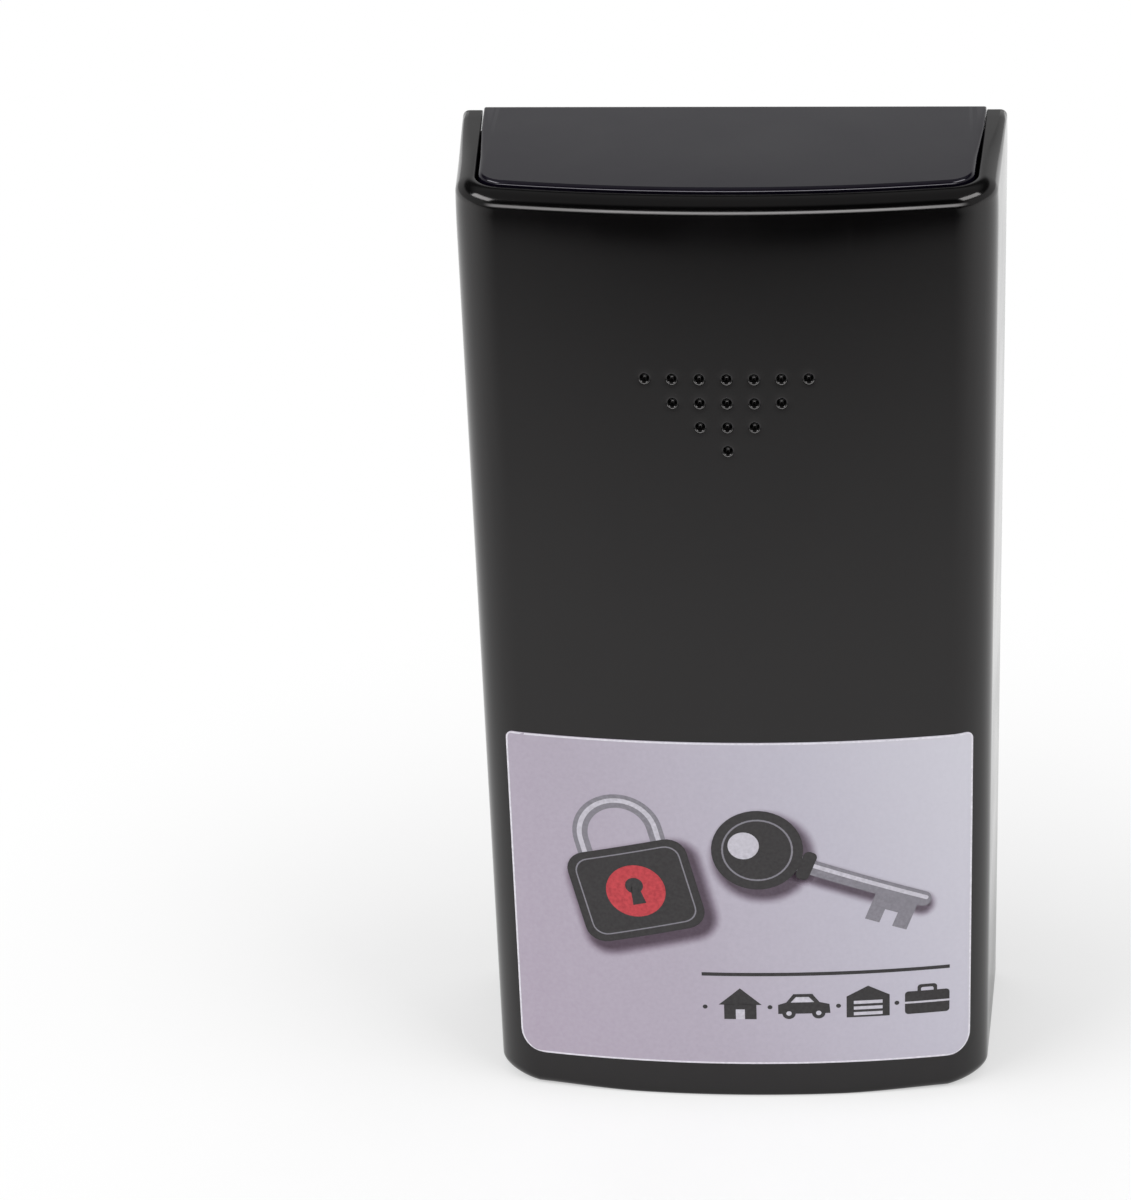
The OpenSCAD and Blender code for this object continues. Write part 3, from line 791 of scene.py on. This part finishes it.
def noise(nt, scale, detail=3.0, stretch=None, turn=None):
    """Noise in the piece's own coordinates, with features of about 1 / scale metres."""
    vector = put(nt, "ShaderNodeTexCoord").outputs["Object"]
    if stretch:
        mapping = put(nt, "ShaderNodeMapping", {"Vector": vector, "Scale": stretch,
                                                "Rotation": turn or (0, 0, 0)})
        vector = mapping.outputs["Vector"]
    tex = put(nt, "ShaderNodeTexNoise", {"Vector": vector, "Scale": scale, "Detail": detail})
    return tex.outputs["Fac"]


def ramp(nt, fac, stops):
    """Turns a value into a colour by (position, colour) stops."""
    n = put(nt, "ShaderNodeValToRGB", {"Fac": fac})
    while len(n.color_ramp.elements) < len(stops):
        n.color_ramp.elements.new(0.5)
    for e, (pos, col) in zip(n.color_ramp.elements, stops):
        e.position = pos
        e.color = (*col, 1)
    return n.outputs["Color"]


def grey_ramp(nt, fac, stops):
    return ramp(nt, fac, [(pos, (grey, grey, grey)) for pos, grey in stops])


def spread(nt, fac, low, high, a=0.3, b=0.7, kind="LINEAR"):
    """Carries a value from the range a to b over to the range low to high."""
    n = put(nt, "ShaderNodeMapRange", {"Value": fac, "From Min": a, "From Max": b,
                                       "To Min": low, "To Max": high}, interpolation_type=kind)
    return n.outputs["Result"]


def calc(nt, operation, *values):
    return put(nt, "ShaderNodeMath", dict(enumerate(values)), operation=operation).outputs["Value"]


def blend(nt, factor, a, b, kind="RGBA", **props):
    n = put(nt, "ShaderNodeMix", {"Factor": factor, "A": a, "B": b}, data_type=kind, **props)
    return n.outputs["Result"]


def bumps(nt, pairs):
    """Chains bumps: (height, strength, distance in millimetres)."""
    normal = None
    for height, strength, distance in pairs:
        n = put(nt, "ShaderNodeBump", {"Height": height, "Strength": strength, "Distance": distance * MM})
        if normal is not None:
            nt.links.new(normal, n.inputs["Normal"])
        normal = n.outputs["Normal"]
    return normal


def plastic(name, colour, rough, level, grain, tint):
    """Moulded black plastic, with a faint cloud in its gloss and fine upright wiping marks."""
    mat, nt, b = new_material(name)
    cloud = noise(nt, 60.0, 4.0)
    fine = noise(nt, 5200.0, 2.0)
    scuff = noise(nt, 900.0, 5.0, (1.0, 1.0, 0.06), (0.25, 0.1, 0.0))
    base = spread(nt, cloud, rough - 0.03, rough + 0.04)
    wear = spread(nt, scuff, 0.0, 0.02, 0.6, 0.75)
    tones = ((0.3, [c * 0.85 for c in colour]), (0.7, [c * 1.2 for c in colour]))
    feed(nt, b, {"Base Color": ramp(nt, cloud, tones),
                 "Roughness": calc(nt, "ADD", base, wear),
                 "Normal": bumps(nt, ((cloud, 0.12, 0.05), (fine, grain, 0.006))),
                 "Specular IOR Level": level,
                 "Specular Tint": (*tint, 1),
                 "IOR": 1.5})
    return mat


def ferrite_material():
    """Ground ceramic: dark grey, with specks and the grinding's fine lines."""
    mat, nt, b = new_material("ferrite_ground")
    grind = noise(nt, 1500.0, 5.0, (0.05, 1.0, 1.0), (0.0, 0.6, 0.0))
    speck = noise(nt, 2600.0, 3.0)
    cloud = noise(nt, 90.0, 4.0)
    specks = ((0.28, (0.05, 0.045, 0.045)), (0.5, (0.088, 0.082, 0.081)), (0.74, (0.115, 0.108, 0.107)))
    lines = ((0.3, (0.07, 0.065, 0.064)), (0.7, (0.115, 0.107, 0.106)))
    colour = blend(nt, spread(nt, cloud, 0.2, 0.8), ramp(nt, speck, specks), ramp(nt, grind, lines))
    feed(nt, b, {"Base Color": colour,
                 "Roughness": spread(nt, grind, 0.42, 0.6),
                 "Normal": bumps(nt, ((grind, 0.25, 0.02), (speck, 0.3, 0.015))),
                 "Specular IOR Level": 0.6})
    return mat


def zinc_material():
    """Steel with yellow passivated zinc: warm, with rose and brass clouds along the strip."""
    mat, nt, b = new_material("zinc_yellow")
    tint = noise(nt, 160.0, 4.0, (1.0, 1.0, 0.35))
    grain = noise(nt, 3800.0, 3.0)
    roll = noise(nt, 1400.0, 4.0, (1.0, 1.0, 0.05))
    tones = ((0.28, (0.64, 0.43, 0.30)), (0.45, (0.72, 0.53, 0.34)),
             (0.6, (0.70, 0.56, 0.31)), (0.75, (0.58, 0.46, 0.33)))
    feed(nt, b, {"Base Color": ramp(nt, tint, tones),
                 "Roughness": spread(nt, grain, 0.26, 0.42),
                 "Normal": bumps(nt, ((roll, 0.2, 0.01), (grain, 0.25, 0.006))),
                 "Metallic": 1.0})
    return mat


def film_material():
    """The label's ground, mauve at the lower left and pale at the upper right."""
    mat, nt, b = new_material("label_print_ground")
    uv = put(nt, "ShaderNodeUVMap", uv_map="label").outputs["UV"]
    split = put(nt, "ShaderNodeSeparateXYZ", {"Vector": uv})
    across = calc(nt, "MULTIPLY", split.outputs["X"], 0.75)
    slope = calc(nt, "MULTIPLY_ADD", split.outputs["Y"], 0.25, across)
    tones = ((0.0, (0.385, 0.325, 0.405)), (0.35, (0.40, 0.355, 0.43)),
             (0.7, (0.475, 0.455, 0.53)), (1.0, (0.585, 0.575, 0.64)))
    fibre = noise(nt, 2200.0, 4.0)
    wave = noise(nt, 240.0, 3.0)
    colour = blend(nt, spread(nt, fibre, 0.0, 0.08), ramp(nt, slope, tones), (0.75, 0.73, 0.8, 1))
    feed(nt, b, {"Base Color": colour,
                 "Roughness": spread(nt, fibre, 0.38, 0.5),
                 "Normal": bumps(nt, ((wave, 0.2, 0.02), (fibre, 0.15, 0.004))),
                 "Specular IOR Level": 0.4})
    return mat


def ink_material(name, low, high):
    """Printing ink with the film's fine grain, also used for the painted highlight along the film's edge."""
    mat, nt, b = new_material(name)
    grain = noise(nt, 2600.0, 3.0)
    cloud = noise(nt, 140.0, 3.0)
    even = ((0.3, low), (0.7, high))
    strong = ((0.3, [c * 0.88 for c in low]), (0.7, [c * 1.1 for c in high]))
    colour = blend(nt, spread(nt, cloud, 0.0, 1.0), ramp(nt, grain, even), ramp(nt, grain, strong))
    feed(nt, b, {"Base Color": colour,
                 "Roughness": spread(nt, grain, 0.37, 0.48),
                 "Normal": bumps(nt, ((grain, 0.12, 0.004),)),
                 "Specular IOR Level": 0.35})
    return mat


def shade_material():
    """The printed shadows: they darken what lies under them, and fade out at their edges."""
    mat, nt, b = new_material("ink_shadow")
    nt.nodes.remove(b)
    fade = put(nt, "ShaderNodeAttribute", attribute_name="fade").outputs["Fac"]
    grain = spread(nt, noise(nt, 2600.0, 3.0), 0.9, 1.0)
    depth = calc(nt, "MULTIPLY", fade, grain)
    tone = ramp(nt, depth, ((0.0, (1.0, 1.0, 1.0)), (0.5, (0.76, 0.73, 0.75)), (1.0, (0.45, 0.41, 0.43))))
    clear = put(nt, "ShaderNodeBsdfTransparent", {"Color": tone})
    nt.links.new(clear.outputs["BSDF"], nt.nodes["Material Output"].inputs["Surface"])
    return mat


# ---------------------------------------------------------------- stage, light and camera
# Lengths are metres from here on. The object stands at the origin, and its front looks towards -Y.
TABLE_XS = (-1.6, -0.8, -0.3, 0.0, 0.3, 0.8, 1.6)
TABLE_YS = (-0.3, -0.15, 0.0, 0.3, 0.9, 2.0)
# The table is plain white past PLAIN_TO from the object, and PLAIN_MIN of it within PLAIN_FROM.
# Reflections see it so too behind the object, none of it up to MIRROR_FROM and all past MIRROR_TO.
PLAIN_FROM, PLAIN_TO, PLAIN_MIN, MIRROR_FROM, MIRROR_TO = 0.03, 0.11, 0.45, -0.03, 0.1
# Camera, fitted to the photograph: degrees, metres, the photograph's pixels, and the sensor in millimetres
CAMERA_AZ, CAMERA_EL, CAMERA_ROLL, CAMERA_DISTANCE = 3.17, 28.25, -1.23, 0.42544
CAMERA_AIM = (0.0, (FRAME_Y - 13.75) * MM, 54.0 * MM)
PHOTO_W, PHOTO_H, FOCAL_PX, CENTRE_PX = 1131, 1200, 3915.7, (738.02, 623.2)
SENSOR = 36.0


def stage_material():
    """A pale table. Away from the object the camera sees it as plain white.

    To other rays its colour darkens towards its front edge, a painted shade, so that the object's front
    mirrors a dark room.
    """
    mat, nt, b = new_material("stage_white")
    nt.nodes.remove(b)
    tone = grey_ramp(nt, noise(nt, 30.0, 3.0), ((0.3, 0.87), (0.7, 0.90)))
    place = put(nt, "ShaderNodeTexCoord").outputs["Object"]
    depth = put(nt, "ShaderNodeSeparateXYZ", {"Vector": place}).outputs["Y"]
    ahead = spread(nt, depth, 0.0, 1.0, TABLE_YS[0], 0.0)
    # Painted shade: the table's colour is darkened towards its front edge, standing in for a dimly lit table
    # and room ahead.
    painted_shade_ahead = grey_ramp(nt, ahead, ((0.07, 0.01), (0.17, 0.42), (0.35, 0.64), (0.6, 0.9), (0.85, 1.0)))
    shade = blend(nt, 1.0, tone, painted_shade_ahead, blend_type="MULTIPLY")
    diffuse = put(nt, "ShaderNodeBsdfDiffuse", {"Color": shade})
    white = put(nt, "ShaderNodeEmission", {"Strength": 1.0})
    away = put(nt, "ShaderNodeVectorMath", {0: place}, operation="LENGTH").outputs["Value"]
    far = spread(nt, away, PLAIN_MIN, 1.0, PLAIN_FROM, PLAIN_TO, "SMOOTHSTEP")
    rear = spread(nt, depth, 0.0, 1.0, MIRROR_FROM, MIRROR_TO, "SMOOTHSTEP")
    path = put(nt, "ShaderNodeLightPath")
    mirrored = calc(nt, "MULTIPLY", rear, path.outputs["Is Glossy Ray"])
    seen = calc(nt, "MAXIMUM", path.outputs["Is Camera Ray"], mirrored)
    share = calc(nt, "MULTIPLY", far, seen)
    mix = put(nt, "ShaderNodeMixShader", {0: share, 1: diffuse.outputs["BSDF"], 2: white.outputs["Emission"]})
    nt.links.new(mix.outputs["Shader"], nt.nodes["Material Output"].inputs["Surface"])
    return mat


def make_stage():
    """A table that reaches far behind the object and ends a little way in front of it."""
    mesh = bpy.data.meshes.new("table_top")
    n = len(TABLE_YS)
    mesh.from_pydata([(x, y, 0.0) for x in TABLE_XS for y in TABLE_YS], [],
                     [(i * n + k, (i + 1) * n + k, (i + 1) * n + k + 1, i * n + k + 1)
                      for i in range(len(TABLE_XS) - 1) for k in range(n - 1)])
    mesh.materials.append(stage_material())
    o = bpy.data.objects.new("table_top", mesh)
    bpy.context.scene.collection.objects.link(o)
    return o


def make_world():
    """White for the camera. Reflections see a white backdrop behind and a darker room elsewhere."""
    world = bpy.data.worlds.new("studio")
    bpy.context.scene.world = world
    world.use_nodes = True
    nt = world.node_tree
    path = put(nt, "ShaderNodeLightPath")
    way = put(nt, "ShaderNodeTexCoord").outputs["Generated"]
    split = put(nt, "ShaderNodeSeparateXYZ", {"Vector": way})
    depth, rise = split.outputs["Y"], split.outputs["Z"]
    height = calc(nt, "MULTIPLY_ADD", rise, 0.5, 0.5)
    wall = grey_ramp(nt, height, ((0.0, 0.48), (0.685, 0.48), (0.725, 0.03), (0.8, 0.03), (0.88, 0.26)))
    behind = spread(nt, depth, 0.03, 1.0, -0.82, -0.5, "SMOOTHSTEP")
    overhead = spread(nt, rise, 0.0, 1.0, 0.75, 0.9, "SMOOTHSTEP")
    room = calc(nt, "MULTIPLY", wall, calc(nt, "MAXIMUM", behind, overhead))
    # A window straight ahead of the object's front, about the horizon, draws the light line along the rim
    band = grey_ramp(nt, height, ((0.425, 0.0), (0.45, 1.0), (0.58, 1.0), (0.605, 0.0)))
    window = spread(nt, depth, 6.0, 0.0, -0.97, -0.6, "SMOOTHSTEP")
    room = calc(nt, "MULTIPLY_ADD", band, window, room)
    seen = blend(nt, path.outputs["Is Camera Ray"], 0.55, 1.0, "FLOAT")
    level = blend(nt, path.outputs["Is Glossy Ray"], seen, room, "FLOAT")
    feed(nt, nt.nodes["Background"], {"Strength": level, "Color": (1, 1, 1, 1)})


def area(name, place, target, size, energy):
    """A rectangular lamp that the camera doesn't see, turned towards a target."""
    lamp = bpy.data.lights.new(name, "AREA")
    lamp.shape = "RECTANGLE"
    lamp.size, lamp.size_y = size
    lamp.energy = energy
    o = bpy.data.objects.new(name, lamp)
    bpy.context.scene.collection.objects.link(o)
    o.location = place
    o.visible_camera = False
    o.rotation_euler = (Vector(target) - Vector(place)).to_track_quat("-Z", "Y").to_euler()
    return o


def make_camera():
    az, el, roll = (math.radians(a) for a in (CAMERA_AZ, CAMERA_EL, CAMERA_ROLL))
    away = Vector((math.sin(az) * math.cos(el), -math.cos(az) * math.cos(el), math.sin(el)))
    right = Vector((math.cos(az), math.sin(az), 0.0))
    up = away.cross(right)
    x = math.cos(roll) * right + math.sin(roll) * up
    y = -math.sin(roll) * right + math.cos(roll) * up
    data = bpy.data.cameras.new("camera")
    data.sensor_width = SENSOR
    data.lens = FOCAL_PX * SENSOR / PHOTO_H
    data.shift_x = -(CENTRE_PX[0] - PHOTO_W / 2) / PHOTO_H
    data.shift_y = (CENTRE_PX[1] - PHOTO_H / 2) / PHOTO_H
    data.clip_start, data.clip_end = 0.01, 20.0
    o = bpy.data.objects.new("camera", data)
    bpy.context.scene.collection.objects.link(o)
    m = Matrix((x, y, away)).transposed().to_4x4()
    m.translation = Vector(CAMERA_AIM) + away * CAMERA_DISTANCE
    o.matrix_world = m
    bpy.context.scene.camera = o
    return o


make_camera()
cover_piece(plastic("cover_black_satin", (0.0014, 0.0013, 0.0014), 0.12, 0.47, 0.12, (1.0, 0.97, 0.97)))
base_piece(plastic("tray_black_gloss", (0.0030, 0.0021, 0.0058), 0.13, 0.5, 0.1, (0.95, 0.925, 1.0)))
ferrite_piece(ferrite_material())
zinc = zinc_material()
pole_piece(zinc, -1, "pole_strip_left", "pole_plate_left")
pole_piece(zinc, 1, "pole_strip_right", "pole_plate_right")
label_piece(film_material())
# The last of these inks is a painted highlight along the film's edge.
label_print([ink_material("ink_charcoal", (0.018, 0.016, 0.017), (0.028, 0.026, 0.027)),
             ink_material("ink_steel", (0.2, 0.19, 0.22), (0.22, 0.21, 0.24)),
             ink_material("ink_red", (0.42, 0.032, 0.045), (0.5, 0.05, 0.06)),
             shade_material(),
             ink_material("ink_pale", (0.5, 0.48, 0.54), (0.55, 0.53, 0.59)),
             ink_material("film_edge_highlight", (0.66, 0.64, 0.7), (0.74, 0.72, 0.78))])
make_stage()
make_world()
area("softbox_front", (0.0, -1.5, 0.2), (0, 0, 0.1), (0.9, 0.16), 1.2)
area("softbox_left", (-0.82, -0.36, 0.78), (0, 0, 0.06), (0.9, 0.36), 7.0)
area("softbox_right", (0.82, -0.36, 0.8), (0, 0, 0.06), (0.9, 0.36), 6.0)
bpy.context.scene.view_settings.view_transform = "Standard"
